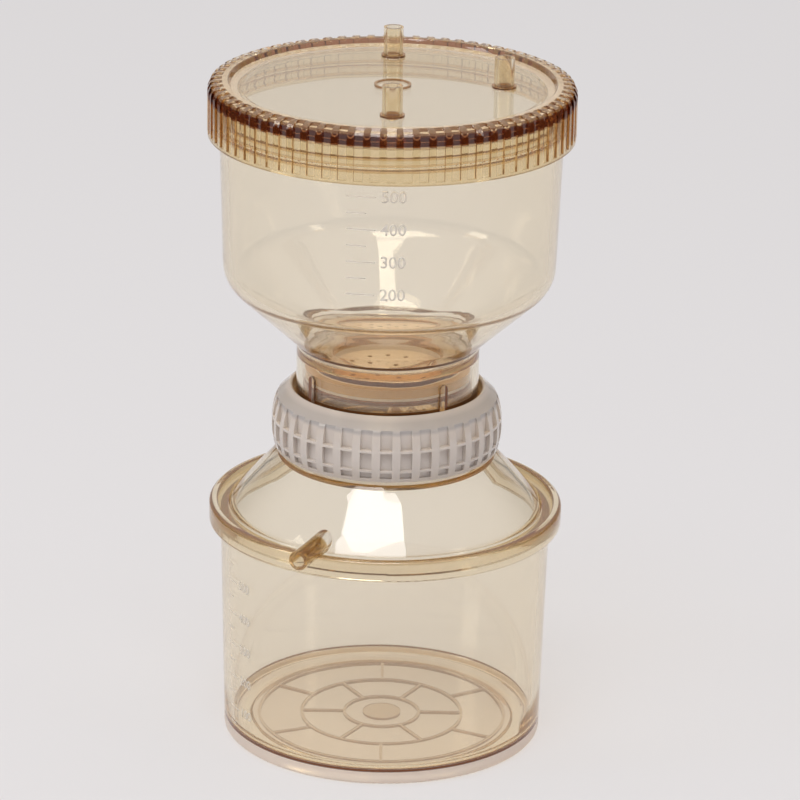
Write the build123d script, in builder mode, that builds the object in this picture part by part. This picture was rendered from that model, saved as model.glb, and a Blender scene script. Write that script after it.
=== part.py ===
from build123d import *
import math
import os

# Vacuum filtration unit, 500 mL: a screw lid with three hose ports, an upper
# chamber, a support plate between two gaskets, a locking collar, and a receiver
# made of a cup with a dome bonded to it.  Millimetres, +Z up.  The origin is the
# centre of the foot that the receiver stands on.

# ---------------------------------------------------------------- receiver cup
cup_top_r = 56.2           # outer radius just under the lip
cup_draft = 1.7            # how much narrower the foot is
cup_wall = 2.6
cup_height = 79.3          # foot to the face that the dome is bonded to
lip_height = 3.9
lip_width = 3.9            # lip and bead past the cup's wall
foot_corner = 1.2          # rounding of the foot's outer edge
foot_land = 8.6            # width of the ring that touches the bench
floor_clear = 2.0          # height of the floor's underside above the bench
floor_wall = 2.6
floor_round = 3.0          # inside corner between floor and wall
floor_ring_inset = 3.3     # outer ring inside the foot's land
floor_ring_pitch = 14.85
floor_ring_count = 3
floor_disc_r = 6.6
floor_rib_w = 1.1
floor_rib_h = 0.9
spoke_count = 6

# --------------------------------------------------------------- receiver dome
bead_height = 3.3
bead_width = 3.0
bead_round = 1.4
groove_depth = 1.7
cone_inset = 6.7           # cone's foot inside the rim
cone_foot_rise = 2.5       # cone's foot above the bonded face
cone_rise = 18.8
cone_land = 3.6            # shoulder between the cone's top and the neck
dome_wall = 2.6
spigot_depth = 2.8         # the dome's skirt down inside the cup
bond_gap = 0.2
neck_step = 5.1            # threaded neck past the plain throat
neck_wall = 2.6
neck_height = 16.7         # cone's top to the face that the chamber stands on
throat_r = 27.9            # plain upper neck, inside the chamber's skirt
throat_height = 10.1
throat_wall = 2.6

# ------------------------------------------------------------------ vacuum arm
arm_azimuth = 24.0         # degrees from the front towards the left
arm_drop = 16.6            # arm's axis below the cone's top
arm_over = 9.2             # arm's mouth past the rim
arm_r = 3.3
arm_root_r = 3.85
arm_straight = 8.0         # parallel length for the hose
arm_bore_r = 2.1

# --------------------------------------------------------- plate and gaskets
lower_gasket_t = 1.0
plate_t = 3.2
upper_gasket_t = 2.0
gasket_band = 3.6          # radial width of the lower gasket
upper_gasket_band = 5.6
plate_gap = 1.0            # plate's edge to the chamber's skirt
plate_ring_depth = 3.0     # locating ring down inside the neck
plate_ring_w = 1.6
locating_gap = 0.3
hole_r = 1.0
hole_pitch = 6.2
hole_rings = 2

# --------------------------------------------------------------- upper chamber
chamber_rim_r = 57.6       # outer radius at the rim
chamber_draft = 1.9        # how much narrower the straight wall's foot is
chamber_wall = 2.7
chamber_height = 105.8     # face on the receiver's neck to the rim
straight_height = 60.9     # rim down to the foot of the straight wall
shoulder_round = 12.0
skirt_wall = 2.5
skirt_gap = 0.5            # skirt to the receiver's plain neck
skirt_height = 22.2        # flange's underside to the foot of the cone
flange_t = 2.6
flange_over = 3.3          # flange past the skirt
outlet_r = 18.4
boss_inset = 2.3           # outlet's boss inside the plate's edge
boss_height = 1.2
ledge_wall = 2.3
funnel_inset = 0.8         # funnel's foot inside the skirt's bore
fin_w = 3.0
fin_over = 0.8
fin_rise = 15.2            # flange's underside to the top of a fin
fin_azimuth = 36.7
fin_count = 4

# ---------------------------------------------------------------------- collar
collar_foot_gap = 1.7      # collar's foot above the cone's top
collar_lip_t = 4.1         # lip over the chamber's flange
collar_wall = 4.2          # at the widest place
collar_belly = 10.3        # height of the widest place
collar_foot_in = 1.3       # foot inside the widest radius
collar_shoulder_in = 1.5   # where the barrel turns in to the sloping top
collar_shoulder_drop = 4.1
collar_round = 2.2
collar_lip_round = 0.8
collar_crown = 1.0         # flat around the opening
collar_bore_gap = 1.8      # room for the thread on the neck
collar_gap = 0.4           # collar's lip to the fins
collar_ribs = 36
collar_window_w = 4.0
# Rows of grip windows: foot, top, and depth below the widest radius.
collar_rows = ((1.2, 3.5, 2.1), (4.3, 10.5, 1.6), (11.3, 19.2, 1.9))

# ------------------------------------------------------------------------- lid
lid_gap = 1.4              # room for the thread on the chamber's rim
lid_height = 18.0
lid_plate_t = 3.8
lid_rim_h = 1.6            # rim above the plate
lid_rim_w = 6.8
lid_rim_slope = 0.8
lid_corner = 2.8
lid_skirt_wall = 2.2
lid_gasket_t = 1.5
lid_ring_gap = 3.7         # locating ring to the chamber's wall
lid_ring_w = 1.2
lid_ring_h = 1.8
lid_gasket_gap = 0.2
lid_flutes = 72
flute_w = 3.0
flute_depth = 1.0
flute_foot = 1.1           # plain band under the flutes
port_count = 3
port_spread = 180.0        # first port to last, degrees
port_circle_r = 36.8
port_r = 3.35
port_bore_r = 2.35
port_height = 10.2
port_foot_r = 4.1
port_foot_h = 0.7
gate_r = 6.2
gate_w = 0.8
gate_h = 0.6

# ------------------------------------------------------------- derived heights
lip_z = cup_height - lip_height
floor_z = floor_clear + floor_wall
cone_foot_z = cup_height + cone_foot_rise
cone_top_z = cone_foot_z + cone_rise
neck_z = cone_top_z + neck_height
throat_z = neck_z + throat_height
lower_gasket_z = throat_z + lower_gasket_t
plate_z = lower_gasket_z + plate_t
boss_z = plate_z + upper_gasket_t
rim_z = neck_z + chamber_height
shoulder_z = rim_z - straight_height
skirt_top_z = neck_z + skirt_height
lid_plate_z = rim_z + lid_gasket_t
lid_top_z = lid_plate_z + lid_plate_t
lid_rim_z = lid_top_z + lid_rim_h
lid_foot_z = lid_rim_z - lid_height
collar_z = cone_top_z + collar_foot_gap
lip_under_z = neck_z + flange_t
collar_top_z = lip_under_z + collar_lip_t
collar_shoulder_z = collar_top_z - collar_shoulder_drop
arm_z = cone_top_z - arm_drop

# --------------------------------------------------------------- derived radii
cup_foot_r = cup_top_r - cup_draft
foot_in_r = cup_foot_r - foot_land
rim_r = cup_top_r + lip_width
cone_foot_r = rim_r - cone_inset
arm_reach = rim_r + arm_over
neck_r = throat_r + neck_step
cone_top_r = neck_r + cone_land
skirt_in_r = throat_r + skirt_gap
skirt_r = skirt_in_r + skirt_wall
fin_r = skirt_r + fin_over
flange_r = skirt_r + flange_over
collar_lip_r = fin_r + collar_gap
collar_bore_r = neck_r + collar_bore_gap
collar_belly_r = collar_bore_r + collar_wall
collar_foot_r = collar_belly_r - collar_foot_in
collar_shoulder_r = collar_belly_r - collar_shoulder_in
throat_in_r = throat_r - throat_wall
neck_in_r = neck_r - neck_wall
cup_in_r = cup_top_r - cup_wall
dome_spigot_r = cup_in_r - bond_gap
plate_r = skirt_in_r - plate_gap
boss_r = plate_r - boss_inset
funnel_r = skirt_in_r - funnel_inset
chamber_foot_r = chamber_rim_r - chamber_draft
lid_in_r = chamber_rim_r + lid_gap
lid_r = lid_in_r + lid_skirt_wall
lid_rim_inner_r = lid_r - lid_rim_w
lid_ring_out_r = chamber_rim_r - chamber_wall - lid_ring_gap
lid_ring_r = lid_ring_out_r - lid_ring_w


def corner(sketch, r, z):
    """The corner of a profile nearest to radius r and height z."""
    return sketch.vertices().sort_by_distance((r, z))[0]


# The dome's inner cone runs parallel to the outer one, up to a flat ceiling.
dome_slope = (cone_top_z - cone_foot_z) / (cone_top_r - cone_foot_r)
dome_drop = dome_wall * math.hypot(1, dome_slope)
hollow_foot_r = dome_spigot_r - dome_wall
hollow_foot_z = cone_foot_z + dome_slope * (hollow_foot_r - cone_foot_r) - dome_drop
ceiling_z = cone_top_z - dome_wall
ceiling_r = cone_foot_r + (ceiling_z + dome_drop - cone_foot_z) / dome_slope

# The funnel's inner cone runs parallel to the outer one.
funnel_slope = (shoulder_z - skirt_top_z) / (chamber_foot_r - skirt_r)
funnel_rise = chamber_wall * math.hypot(1, funnel_slope)
wall_in_r = chamber_foot_r - chamber_wall
wall_foot_z = shoulder_z + funnel_slope * (wall_in_r - chamber_foot_r) + funnel_rise
funnel_z = shoulder_z + funnel_slope * (funnel_r - chamber_foot_r) + funnel_rise
ledge_z = boss_z + boss_height + ledge_wall


# Receiver cup: a thin drafted wall on a recessed floor.
with BuildPart() as receiver_cup:
    with BuildSketch(Plane.XZ) as cup_profile:
        with BuildLine():
            Polyline(
                (0, floor_clear),
                (foot_in_r - floor_clear / 2, floor_clear),
                (foot_in_r, 0),
                (cup_foot_r, 0),
                (cup_top_r, lip_z),
                (rim_r, lip_z),
                (rim_r, cup_height),
                (cup_in_r, cup_height),
                (cup_foot_r - cup_wall, floor_z),
                (0, floor_z),
                close=True,
            )
        make_face()
        fillet(corner(cup_profile, cup_foot_r, 0), foot_corner)
        fillet(corner(cup_profile, cup_foot_r - cup_wall, floor_z), floor_round)
        fillet(corner(cup_profile, rim_r, lip_z), lip_height / 5)
    revolve(axis=Axis.Z)
    # Rings, spokes and the gate's disc stand down from the floor's underside.
    with BuildSketch(Plane.XY.offset(floor_clear)) as floor_pattern:
        for ring in range(floor_ring_count):
            ring_r = foot_in_r - floor_ring_inset - ring * floor_ring_pitch
            Circle(ring_r + floor_rib_w / 2)
            Circle(ring_r - floor_rib_w / 2, mode=Mode.SUBTRACT)
            if ring > 0:
                turn = (ring % 2) * 180 / spoke_count
                with PolarLocations(ring_r + floor_ring_pitch / 2, spoke_count, start_angle=turn):
                    Rectangle(floor_ring_pitch, floor_rib_w)
        Circle(floor_disc_r)
    extrude(amount=-floor_rib_h)
receiver_cup.part.label = "receiver_cup"


# Receiver dome: the outer form with its arm first, then the hollow and the bore.
arm_dir = Vector(0, -1, 0).rotate(Axis.Z, -arm_azimuth)
arm_mouth = Plane(
    origin=arm_dir * arm_reach + Vector(0, 0, arm_z), x_dir=(0, 0, 1), z_dir=arm_dir
)
arm_root_len = arm_reach - arm_straight - cone_top_r
bead_in_r = rim_r - bead_width
with BuildPart() as receiver_dome:
    with BuildSketch(Plane.XZ) as dome_profile:
        with BuildLine():
            Polyline(
                (0, cup_height - spigot_depth),
                (dome_spigot_r, cup_height - spigot_depth),
                (dome_spigot_r, cup_height),
                (rim_r, cup_height),
                (rim_r, cup_height + bead_height),
                (bead_in_r, cup_height + bead_height),
                (bead_in_r, cup_height + bead_height - groove_depth),
                (cone_foot_r, cup_height + bead_height - groove_depth),
                (cone_foot_r, cone_foot_z),
                (cone_top_r, cone_top_z),
                (neck_r, cone_top_z),
                (neck_r, neck_z),
                (throat_r, neck_z),
                (throat_r, throat_z),
                (0, throat_z),
                close=True,
            )
        make_face()
        fillet(corner(dome_profile, rim_r, cup_height + bead_height), bead_round)
        fillet(corner(dome_profile, bead_in_r, cup_height + bead_height), bead_round / 2)
        fillet(corner(dome_profile, cone_top_r, cone_top_z), dome_wall / 2)
        fillet(corner(dome_profile, neck_r, neck_z), neck_wall / 3)
        fillet(corner(dome_profile, throat_r, throat_z), throat_wall / 4)
    revolve(axis=Axis.Z)
    with BuildSketch(arm_mouth):
        Circle(arm_r)
    extrude(amount=-arm_straight)
    with BuildSketch(arm_mouth.offset(-arm_straight)):
        Circle(arm_r)
    with BuildSketch(arm_mouth.offset(-arm_straight - arm_root_len)):
        Circle(arm_root_r)
    loft()
    with BuildSketch(Plane.XZ) as dome_hollow:
        with BuildLine():
            Polyline(
                (0, cup_height - spigot_depth),
                (hollow_foot_r, cup_height - spigot_depth),
                (hollow_foot_r, hollow_foot_z),
                (ceiling_r, ceiling_z),
                (neck_in_r, ceiling_z),
                (neck_in_r, neck_z - neck_wall - (neck_in_r - throat_in_r) / 2),
                (throat_in_r, neck_z - neck_wall),
                (throat_in_r, throat_z),
                (0, throat_z),
                close=True,
            )
        make_face()
        fillet(corner(dome_hollow, hollow_foot_r, hollow_foot_z), dome_wall)
        fillet(corner(dome_hollow, neck_in_r, ceiling_z), dome_wall / 2)
    revolve(axis=Axis.Z, mode=Mode.SUBTRACT)
    with BuildSketch(arm_mouth):
        Circle(arm_bore_r)
    extrude(amount=-(arm_reach - cone_top_r), mode=Mode.SUBTRACT)
receiver_dome.part.label = "receiver_dome"


# Lower gasket: a flat ring on top of the receiver's neck.
with BuildPart() as lower_gasket:
    with BuildSketch(Plane.XY.offset(throat_z)):
        Circle(plate_r)
        Circle(plate_r - gasket_band, mode=Mode.SUBTRACT)
    extrude(amount=lower_gasket_t)
lower_gasket.part.label = "lower_gasket"


# Support plate: a perforated disc with a ring that drops inside the neck.
with BuildPart() as support_plate:
    with BuildSketch(Plane.XY.offset(lower_gasket_z)):
        Circle(plate_r)
    extrude(amount=plate_t)
    with BuildSketch(Plane.XY.offset(lower_gasket_z)):
        ring_r = min(throat_in_r, plate_r - gasket_band) - locating_gap
        Circle(ring_r)
        Circle(ring_r - plate_ring_w, mode=Mode.SUBTRACT)
    extrude(amount=-(plate_ring_depth + lower_gasket_t))
    with BuildSketch(Plane.XY.offset(plate_z)):
        Circle(hole_r)
        for ring in range(1, hole_rings + 1):
            with PolarLocations(ring * hole_pitch, 6 * ring):
                Circle(hole_r)
    extrude(amount=-plate_t, mode=Mode.SUBTRACT)
support_plate.part.label = "support_plate"


# Membrane gasket: a soft ring that the chamber's boss presses on the plate.
with BuildPart() as membrane_gasket:
    with BuildSketch(Plane.XY.offset(plate_z)):
        gasket_out_r = outlet_r + upper_gasket_band
        Circle(gasket_out_r)
        Circle(outlet_r, mode=Mode.SUBTRACT)
    extrude(amount=upper_gasket_t)
membrane_gasket.part.label = "membrane_gasket"


# Upper chamber: straight drafted wall, funnel, outlet boss, skirt and flange.
with BuildPart() as upper_chamber:
    with BuildSketch(Plane.XZ) as chamber_profile:
        with BuildLine():
            Polyline(
                (outlet_r, boss_z),
                (boss_r, boss_z),
                (boss_r, boss_z + boss_height),
                (skirt_in_r, boss_z + boss_height),
                (skirt_in_r, neck_z),
                (flange_r, neck_z),
                (flange_r, neck_z + flange_t),
                (skirt_r, neck_z + flange_t),
                (skirt_r, skirt_top_z),
                (chamber_foot_r, shoulder_z),
                (chamber_rim_r, rim_z),
                (chamber_rim_r - chamber_wall, rim_z),
                (wall_in_r, wall_foot_z),
                (funnel_r, funnel_z),
                (funnel_r, ledge_z),
                (outlet_r, ledge_z - boss_height / 2),
                close=True,
            )
        make_face()
        fillet(corner(chamber_profile, chamber_foot_r, shoulder_z), shoulder_round)
        inner_round = shoulder_round - chamber_wall
        fillet(corner(chamber_profile, wall_in_r, wall_foot_z), inner_round)
        fillet(corner(chamber_profile, skirt_r, skirt_top_z), skirt_wall / 2)
        fillet(corner(chamber_profile, funnel_r, ledge_z), ledge_wall / 3)
        fillet(corner(chamber_profile, funnel_r, funnel_z), ledge_wall / 3)
    revolve(axis=Axis.Z)
    # Four fins on the skirt keep the loose collar central.
    for turn in range(fin_count):
        fin_dir = Vector(0, -1, 0).rotate(Axis.Z, fin_azimuth + turn * 360 / fin_count)
        fin_plane = Plane(
            origin=fin_dir * (skirt_r - skirt_wall / 2) + Vector(0, 0, neck_z + flange_t),
            x_dir=(0, 0, 1),
            z_dir=fin_dir,
        )
        fin_len = fin_rise - flange_t
        with BuildSketch(fin_plane) as fin_face:
            with Locations(((fin_len - fin_w / 2) / 2, 0)):
                Rectangle(fin_len - fin_w / 2, fin_w)
            with Locations((fin_len - fin_w / 2, 0)):
                Circle(fin_w / 2)
        extrude(amount=fin_over + skirt_wall / 2)
upper_chamber.part.label = "upper_chamber"


# Locking collar: a barrel with windowed grips that clamps the chamber's flange.
with BuildPart() as collar:
    with BuildSketch(Plane.XZ) as collar_profile:
        with BuildLine():
            ThreePointArc(
                (collar_foot_r, collar_z),
                (collar_belly_r, collar_z + collar_belly),
                (collar_shoulder_r, collar_shoulder_z),
            )
            Polyline(
                (collar_shoulder_r, collar_shoulder_z),
                (collar_lip_r + collar_crown, collar_top_z),
                (collar_lip_r, collar_top_z),
                (collar_lip_r, lip_under_z),
                (collar_bore_r, lip_under_z),
                (collar_bore_r, collar_z),
                (collar_foot_r, collar_z),
            )
        make_face()
        fillet(corner(collar_profile, collar_shoulder_r, collar_shoulder_z), collar_round)
        fillet(corner(collar_profile, collar_lip_r, collar_top_z), collar_lip_round)
    revolve(axis=Axis.Z)
    with BuildSketch(Plane.XZ) as window_profile:
        for low, high, depth in collar_rows:
            with Locations((collar_belly_r - depth, collar_z + low)):
                Rectangle(2 * depth, high - low, align=(Align.MIN, Align.MIN))
    window = extrude(amount=collar_window_w / 2, both=True, mode=Mode.PRIVATE)
    with PolarLocations(0, collar_ribs, start_angle=-90):
        add(window, mode=Mode.SUBTRACT)
collar.part.label = "collar"


# Lid gasket: a flat ring between the lid's plate and the chamber's rim.
with BuildPart() as lid_gasket:
    with BuildSketch(Plane.XY.offset(rim_z)):
        Circle(chamber_rim_r)
        Circle(lid_ring_out_r + lid_gasket_gap, mode=Mode.SUBTRACT)
    extrude(amount=lid_gasket_t)
lid_gasket.part.label = "lid_gasket"


# Lid: a plate in a fluted rim, with three hose ports and the moulding gate's ring.
with BuildPart() as lid:
    with BuildSketch(Plane.XZ) as lid_profile:
        with BuildLine():
            Polyline(
                (0, lid_plate_z),
                (lid_ring_r, lid_plate_z),
                (lid_ring_r, lid_plate_z - lid_ring_h),
                (lid_ring_out_r, lid_plate_z - lid_ring_h),
                (lid_ring_out_r, lid_plate_z),
                (lid_in_r, lid_plate_z),
                (lid_in_r, lid_foot_z),
                (lid_r, lid_foot_z),
                (lid_r, lid_rim_z - lid_corner),
                (lid_r - 0.3 * lid_corner, lid_rim_z - 0.3 * lid_corner),
                (lid_r - lid_corner, lid_rim_z),
                (lid_rim_inner_r, lid_rim_z),
                (lid_rim_inner_r - lid_rim_slope, lid_top_z),
                (0, lid_top_z),
                close=True,
            )
        make_face()
        fillet(corner(lid_profile, lid_rim_inner_r, lid_rim_z), lid_rim_h / 3)
    revolve(axis=Axis.Z)
    # One flute follows the rounded corner at an even depth and runs out on top.
    with BuildSketch(Plane.XZ) as flute_profile:
        flute_in_r = lid_r - flute_depth
        flute_top_z = lid_rim_z - flute_depth
        flute_end_r = lid_rim_inner_r + 2 * flute_depth
        with BuildLine():
            Polyline(
                (flute_in_r, lid_foot_z + flute_foot),
                (flute_in_r, flute_top_z),
                (flute_end_r + flute_depth, flute_top_z),
                (flute_end_r, lid_rim_z),
                (flute_end_r, lid_rim_z + flute_depth),
                (lid_r + flute_depth, lid_rim_z + flute_depth),
                (lid_r + flute_depth, lid_foot_z + flute_foot),
                close=True,
            )
        make_face()
        chamfer(corner(flute_profile, flute_in_r, flute_top_z), lid_corner / 3)
    flute = extrude(amount=flute_w / 2, both=True, mode=Mode.PRIVATE)
    with PolarLocations(0, lid_flutes, start_angle=-90):
        add(flute, mode=Mode.SUBTRACT)
    with BuildSketch(Plane.XY.offset(lid_top_z)):
        Circle(gate_r)
        Circle(gate_r - gate_w, mode=Mode.SUBTRACT)
    extrude(amount=gate_h)
    with BuildSketch(Plane.XY.offset(lid_top_z)):
        with PolarLocations(port_circle_r, port_count, -90, port_spread, endpoint=True):
            Circle(port_r)
    extrude(amount=port_height)
    with BuildSketch(Plane.XY.offset(lid_top_z)):
        with PolarLocations(port_circle_r, port_count, -90, port_spread, endpoint=True):
            Circle(port_foot_r)
    extrude(amount=port_foot_h)
    with BuildSketch(Plane.XY.offset(lid_top_z + port_height)):
        with PolarLocations(port_circle_r, port_count, -90, port_spread, endpoint=True):
            Circle(port_bore_r)
    extrude(amount=-(port_height + lid_plate_t), mode=Mode.SUBTRACT)
lid.part.label = "lid"


os.makedirs("parts", exist_ok=True)
export_step(receiver_cup.part, "parts/receiver_cup.step")
export_step(receiver_dome.part, "parts/receiver_dome.step")
export_step(lower_gasket.part, "parts/lower_gasket.step")
export_step(support_plate.part, "parts/support_plate.step")
export_step(membrane_gasket.part, "parts/membrane_gasket.step")
export_step(upper_chamber.part, "parts/upper_chamber.step")
export_step(collar.part, "parts/collar.step")
export_step(lid_gasket.part, "parts/lid_gasket.step")
export_step(lid.part, "parts/lid.step")
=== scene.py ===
import math
from collections import namedtuple

import bpy
from mathutils import Matrix, Vector


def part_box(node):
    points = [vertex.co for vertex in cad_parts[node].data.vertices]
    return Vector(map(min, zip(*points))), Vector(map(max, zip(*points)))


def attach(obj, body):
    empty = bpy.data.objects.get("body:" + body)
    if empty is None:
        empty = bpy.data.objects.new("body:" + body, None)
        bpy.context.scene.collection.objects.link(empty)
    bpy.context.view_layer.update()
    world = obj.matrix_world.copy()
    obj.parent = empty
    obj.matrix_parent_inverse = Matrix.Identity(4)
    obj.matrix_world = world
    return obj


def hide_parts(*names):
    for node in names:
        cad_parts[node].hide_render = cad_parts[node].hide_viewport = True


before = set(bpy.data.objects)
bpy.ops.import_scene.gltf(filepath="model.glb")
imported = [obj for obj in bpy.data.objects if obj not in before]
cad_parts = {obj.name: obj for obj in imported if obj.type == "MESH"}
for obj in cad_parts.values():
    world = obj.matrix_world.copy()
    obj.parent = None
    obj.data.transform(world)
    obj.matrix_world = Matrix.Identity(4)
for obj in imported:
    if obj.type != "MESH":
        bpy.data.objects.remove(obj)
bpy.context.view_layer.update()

bl_info = {
    "name": "Vacuum filtration unit",
    "version": (1, 0, 0),
    "blender": (4, 5, 0),
    "location": "View3D > Sidebar > Filtration",
    "description": "Dresses the vacuum filtration unit and sets its stage",
    "category": "Object",
}

MM = 0.001

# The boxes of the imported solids, in metres.
CUP_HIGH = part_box("receiver_cup")[1]
DOME_LOW, DOME_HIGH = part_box("receiver_dome")
CHAMBER_LOW, CHAMBER_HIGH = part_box("upper_chamber")
LID_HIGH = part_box("lid")[1]
SEAL_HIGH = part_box("lid_gasket")[1]
COLLAR_LOW, COLLAR_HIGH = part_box("collar")
RING_LOW, RING_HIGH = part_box("membrane_gasket")
PLATE_LOW, PLATE_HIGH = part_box("support_plate")

# Places on the mouldings that no box gives, in metres: radii from the unit's
# axis (R), heights above the bench (Z) and widths from the middle (X).
FLOOR_R = 45.5 * MM
FLOOR_TOP_Z = 4.8 * MM
RIBS_Z = 1.6 * MM
RIB_SIDES_R = 44.2 * MM
RIB_SIDES_Z = (0.9 * MM, 2.1 * MM)
CUP_WALL_R = 54.1 * MM
FOOT_LINE_Z = (4.6 * MM, 5.6 * MM)
BEAD_GROOVE_R = (53.7 * MM, 57.3 * MM)
CUP_JOINT_R = CUP_HIGH.x - 6.5 * MM
ARM_FOOT_R, ARM_FOOT_TOP_R = 57.5 * MM, 54.2 * MM
ARM_Z, ARM_TOP_Z = (83.0 * MM, 95.0 * MM), (84.0 * MM, 95.0 * MM)
NECK_R = 33.0 * MM
NECK_CREST_R = 34.6 * MM
NECK_RIM_R = (24.0 * MM, 28.2 * MM)
COLLAR_BORE_R = 34.8 * MM
SKIRT_R = 31.5 * MM
FINS_R = (30.4 * MM, 32.0 * MM)
FIN_FACES_R = (31.15 * MM, 32.0 * MM)
FIN_EDGES_X = ((19.2 * MM, 21.0 * MM), (25.2 * MM, 27.5 * MM))
LIP_SHADE_R = (30.4 * MM, 31.2 * MM)
CONE_FOOT_R = (29.8 * MM, 32.5 * MM)
CONE_FOOT_Z = PLATE_HIGH.z + 7.9 * MM
OUTLET_R = (17.5 * MM, 19.0 * MM)
LID_SKIRT_R = 57.0 * MM
LID_BORE_R = LID_HIGH.x - 2.2 * MM
PORTS_R = 43.5 * MM

# Limits outside the unit, for a zone that is open at one end.
UNDER, OVER = -1.0, 1.0

# How shapes are made: steps round a full turn, the sharpest edge that is still
# shaded smooth, the gap that closes when doubles merge, how near a vertex is to
# the height or radius that it is picked by, and the hair's gap between clear
# faces that rest on each other.
BOND_STEPS = 128
THREAD_STEPS = 96
SMOOTH_ANGLE = math.radians(28)
MERGE_GAP = 1e-6
NEAR = 1e-5
HAIR = 0.05 * MM

# The threads: how many turns most have, the crest's width as a share of the
# root's, and how far under the chamber's rim the lid's thread ends.
THREAD_TURNS = 2
CREST_SHARE = 0.45
RIM_TO_THREAD = 1.2 * MM

# The scales: where the flat marks start before they are laid on a wall, the
# columns that let a mark follow its curve, how thick a mark is against how far
# it stands proud, a digit's share of its font's size, how much the digits are
# thickened, and the way that the receiver's scale is turned from the front.
MARKS_Y = -0.07
MARK_COLUMNS = 8
MARK_BODY = 0.8
DIGIT_SHARE = 0.69
DIGIT_WEIGHT = 0.06 * MM
CUP_SCALE_TURN = math.radians(66.0)

# Clear polysulfone: a skin without tint, its roughness, how much light goes
# through, its index, its colour in depth and in a shadow, and how many
# reflections and crossings of a path the renderer follows.
NO_TINT = (1, 1, 1, 1)
POLISHED = 0.02
CLEARNESS = 0.97
POLYSULFONE_IOR = 1.6
POLYSULFONE_TINT = (0.81, 0.585, 0.06, 1)
POLYSULFONE_SHADOW = (0.985, 0.97, 0.945, 1)
TURNS_FOLLOWED = 3.5
WALLS_FOLLOWED = 11.5

# The room: its strength, and where it turns from dim to pale, by how far a
# direction points up and by how far it points to the back. The paper: its size,
# its height, and the distances at which it fades when seen through the unit.
ROOM_STRENGTH = 0.84
ROOM_RISE = (0.08, 0.55)
ROOM_BACK = (0.6, 1.04)
PAPER_SIZE = 8.0
PAPER_Z = -0.4 * MM
PAPER_FADES = (1.1, 2.2)

# The lamps: name, place, width and depth in metres, power in watts, and the
# turn in degrees of one that faces down, or None for one aimed at the unit.
LAMPS = (
    ("overhead softbox", (-0.268, -0.869, 1.95), (1.19, 0.82), 15.5, 20.2),
    ("left softbox", (-1.6, -0.5, 1.0), (0.5, 0.9), 5.0, None),
    ("right softbox", (1.5, -0.9, 0.8), (0.25, 0.9), 2.0, None),
)
LAMPS_AIM = Vector((0, 0, 0.12))

# The camera's sensor in millimetres, and how far it sees in metres.
SENSOR_WIDTH = 36.0
CLIP_END = 50.0

# How far a face is turned, from 0 to 1, where it starts to count as a wall and
# where it is one.
TURN_OF_WALL = (0.35, 0.7)

# A place on a piece: to the side, above the bench, and away from the unit's axis.
Spot = namedtuple("Spot", "x z away")


# ------------------------------------------------------------------ settings


class FiltrationThreads(bpy.types.PropertyGroup):
    lid_lead: bpy.props.FloatProperty(
        name="Lid lead",
        description="How far the lid rises in one turn",
        default=4.2 * MM,
        unit="LENGTH",
    )
    collar_lead: bpy.props.FloatProperty(
        name="Collar lead",
        description="How far the collar rises in one turn",
        default=5.0 * MM,
        unit="LENGTH",
    )
    thread_width: bpy.props.FloatProperty(
        name="Thread width",
        description="Width of a thread at its root",
        default=1.5 * MM,
        unit="LENGTH",
    )


class FiltrationScale(bpy.types.PropertyGroup):
    digit_height: bpy.props.FloatProperty(
        name="Digit height",
        description="Height of a number on the chamber's scale",
        default=3.9 * MM,
        unit="LENGTH",
    )
    proud: bpy.props.FloatProperty(
        name="Proud",
        description="How far a mark stands out of the wall",
        default=0.1 * MM,
        unit="LENGTH",
    )
    chamber_step: bpy.props.FloatProperty(
        name="Chamber step",
        description="Height that 100 mL takes in the chamber",
        default=11.1 * MM,
        unit="LENGTH",
    )
    cup_step: bpy.props.FloatProperty(
        name="Cup step",
        description="Height that 100 mL takes in the receiver",
        default=11.7 * MM,
        unit="LENGTH",
    )


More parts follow.
